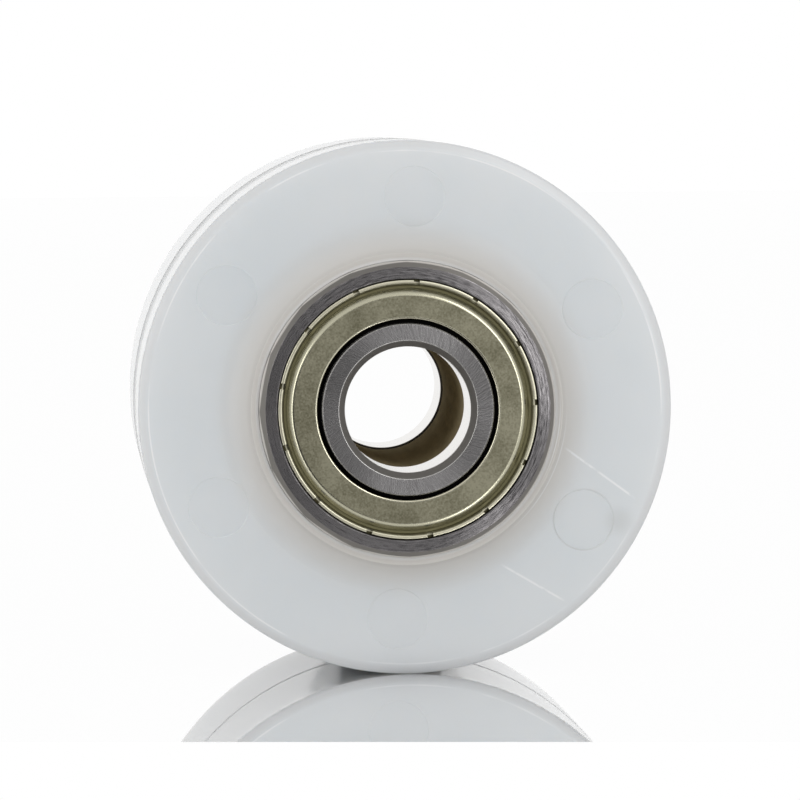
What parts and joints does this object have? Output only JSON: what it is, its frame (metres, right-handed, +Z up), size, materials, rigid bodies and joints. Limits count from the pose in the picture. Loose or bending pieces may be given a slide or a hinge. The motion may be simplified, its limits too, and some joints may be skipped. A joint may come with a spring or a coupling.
{
  "type": "trolley wheel",
  "caption": "Solid white nylon trolley wheel with a plain tread, turning on shielded ball bearings with a spacer sleeve between them, bored through for an axle.",
  "frame": {"origin": "centre of the wheel, on the axle's axis midway between the two faces", "axes": "+Y along the axle, +Z up, with the face that carries the pin marks towards -Y"},
  "size_m": [0.0852, 0.07, 0.0852],
  "materials": {
    "nylon": "satin moulded",
    "bearing_steel": "ground",
    "shield_zinc": "yellow passivated",
    "cage_steel": "pressed sheet",
    "ball_steel": "polished",
    "spacer_steel": "oil browned"
  },
  "bodies": {
    "axle_core": {"front_inner_ring": "bearing_steel", "rear_inner_ring": "bearing_steel", "spacer_sleeve": "spacer_steel"},
    "wheel": {"wheel_body": "nylon", "front_outer_ring": "bearing_steel", "front_outer_shield": "shield_zinc", "front_inner_shield": "shield_zinc", "rear_outer_ring": "bearing_steel", "rear_outer_shield": "shield_zinc", "rear_inner_shield": "shield_zinc"},
    "front_cage": {"front_cage_outer_half": "cage_steel", "front_cage_inner_half": "cage_steel", "front_cage_rivets": "cage_steel"},
    "front_ball_1": {"front_ball_1": "ball_steel"},
    "front_ball_2": {"front_ball_2": "ball_steel"},
    "front_ball_3": {"front_ball_3": "ball_steel"},
    "front_ball_4": {"front_ball_4": "ball_steel"},
    "front_ball_5": {"front_ball_5": "ball_steel"},
    "front_ball_6": {"front_ball_6": "ball_steel"},
    "front_ball_7": {"front_ball_7": "ball_steel"},
    "front_ball_8": {"front_ball_8": "ball_steel"},
    "rear_cage": {"rear_cage_outer_half": "cage_steel", "rear_cage_inner_half": "cage_steel", "rear_cage_rivets": "cage_steel"},
    "rear_ball_1": {"rear_ball_1": "ball_steel"},
    "rear_ball_2": {"rear_ball_2": "ball_steel"},
    "rear_ball_3": {"rear_ball_3": "ball_steel"},
    "rear_ball_4": {"rear_ball_4": "ball_steel"},
    "rear_ball_5": {"rear_ball_5": "ball_steel"},
    "rear_ball_6": {"rear_ball_6": "ball_steel"},
    "rear_ball_7": {"rear_ball_7": "ball_steel"},
    "rear_ball_8": {"rear_ball_8": "ball_steel"}
  },
  "joints": [
    {"name": "wheel_spin", "type": "hinge", "parent": "axle_core", "child": "wheel", "pos_m": [0, 0, 0], "axis": [0, 1, 0], "continuous": true},
    {"name": "front_cage_orbit", "type": "hinge", "parent": "axle_core", "child": "front_cage", "pos_m": [0, -0.028, 0], "axis": [0, 1, 0], "continuous": true},
    {"name": "front_ball_1_roll", "type": "hinge", "parent": "front_cage", "child": "front_ball_1", "pos_m": [0.01675, -0.028, 0], "axis": [0, 1, 0], "continuous": true},
    {"name": "front_ball_2_roll", "type": "hinge", "parent": "front_cage", "child": "front_ball_2", "pos_m": [0.01184, -0.028, 0.01184], "axis": [0, 1, 0], "continuous": true},
    {"name": "front_ball_3_roll", "type": "hinge", "parent": "front_cage", "child": "front_ball_3", "pos_m": [0, -0.028, 0.01675], "axis": [0, 1, 0], "continuous": true},
    {"name": "front_ball_4_roll", "type": "hinge", "parent": "front_cage", "child": "front_ball_4", "pos_m": [-0.01184, -0.028, 0.01184], "axis": [0, 1, 0], "continuous": true},
    {"name": "front_ball_5_roll", "type": "hinge", "parent": "front_cage", "child": "front_ball_5", "pos_m": [-0.01675, -0.028, 0], "axis": [0, 1, 0], "continuous": true},
    {"name": "front_ball_6_roll", "type": "hinge", "parent": "front_cage", "child": "front_ball_6", "pos_m": [-0.01184, -0.028, -0.01184], "axis": [0, 1, 0], "continuous": true},
    {"name": "front_ball_7_roll", "type": "hinge", "parent": "front_cage", "child": "front_ball_7", "pos_m": [0, -0.028, -0.01675], "axis": [0, 1, 0], "continuous": true},
    {"name": "front_ball_8_roll", "type": "hinge", "parent": "front_cage", "child": "front_ball_8", "pos_m": [0.01184, -0.028, -0.01184], "axis": [0, 1, 0], "continuous": true},
    {"name": "rear_cage_orbit", "type": "hinge", "parent": "axle_core", "child": "rear_cage", "pos_m": [0, 0.028, 0], "axis": [0, 1, 0], "continuous": true},
    {"name": "rear_ball_1_roll", "type": "hinge", "parent": "rear_cage", "child": "rear_ball_1", "pos_m": [0.01675, 0.028, 0], "axis": [0, 1, 0], "continuous": true},
    {"name": "rear_ball_2_roll", "type": "hinge", "parent": "rear_cage", "child": "rear_ball_2", "pos_m": [0.01184, 0.028, 0.01184], "axis": [0, 1, 0], "continuous": true},
    {"name": "rear_ball_3_roll", "type": "hinge", "parent": "rear_cage", "child": "rear_ball_3", "pos_m": [0, 0.028, 0.01675], "axis": [0, 1, 0], "continuous": true},
    {"name": "rear_ball_4_roll", "type": "hinge", "parent": "rear_cage", "child": "rear_ball_4", "pos_m": [-0.01184, 0.028, 0.01184], "axis": [0, 1, 0], "continuous": true},
    {"name": "rear_ball_5_roll", "type": "hinge", "parent": "rear_cage", "child": "rear_ball_5", "pos_m": [-0.01675, 0.028, 0], "axis": [0, 1, 0], "continuous": true},
    {"name": "rear_ball_6_roll", "type": "hinge", "parent": "rear_cage", "child": "rear_ball_6", "pos_m": [-0.01184, 0.028, -0.01184], "axis": [0, 1, 0], "continuous": true},
    {"name": "rear_ball_7_roll", "type": "hinge", "parent": "rear_cage", "child": "rear_ball_7", "pos_m": [0, 0.028, -0.01675], "axis": [0, 1, 0], "continuous": true},
    {"name": "rear_ball_8_roll", "type": "hinge", "parent": "rear_cage", "child": "rear_ball_8", "pos_m": [0.01184, 0.028, -0.01184], "axis": [0, 1, 0], "continuous": true}
  ],
  "couplings": [
    {"joint": "front_cage_orbit", "follows": "wheel_spin", "ratio": 0.61848},
    {"joint": "front_ball_1_roll", "follows": "wheel_spin", "ratio": 1.9916},
    {"joint": "front_ball_2_roll", "follows": "wheel_spin", "ratio": 1.9916},
    {"joint": "front_ball_3_roll", "follows": "wheel_spin", "ratio": 1.9916},
    {"joint": "front_ball_4_roll", "follows": "wheel_spin", "ratio": 1.9916},
    {"joint": "front_ball_5_roll", "follows": "wheel_spin", "ratio": 1.9916},
    {"joint": "front_ball_6_roll", "follows": "wheel_spin", "ratio": 1.9916},
    {"joint": "front_ball_7_roll", "follows": "wheel_spin", "ratio": 1.9916},
    {"joint": "front_ball_8_roll", "follows": "wheel_spin", "ratio": 1.9916},
    {"joint": "rear_cage_orbit", "follows": "wheel_spin", "ratio": 0.61848},
    {"joint": "rear_ball_1_roll", "follows": "wheel_spin", "ratio": 1.9916},
    {"joint": "rear_ball_2_roll", "follows": "wheel_spin", "ratio": 1.9916},
    {"joint": "rear_ball_3_roll", "follows": "wheel_spin", "ratio": 1.9916},
    {"joint": "rear_ball_4_roll", "follows": "wheel_spin", "ratio": 1.9916},
    {"joint": "rear_ball_5_roll", "follows": "wheel_spin", "ratio": 1.9916},
    {"joint": "rear_ball_6_roll", "follows": "wheel_spin", "ratio": 1.9916},
    {"joint": "rear_ball_7_roll", "follows": "wheel_spin", "ratio": 1.9916},
    {"joint": "rear_ball_8_roll", "follows": "wheel_spin", "ratio": 1.9916}
  ]
}
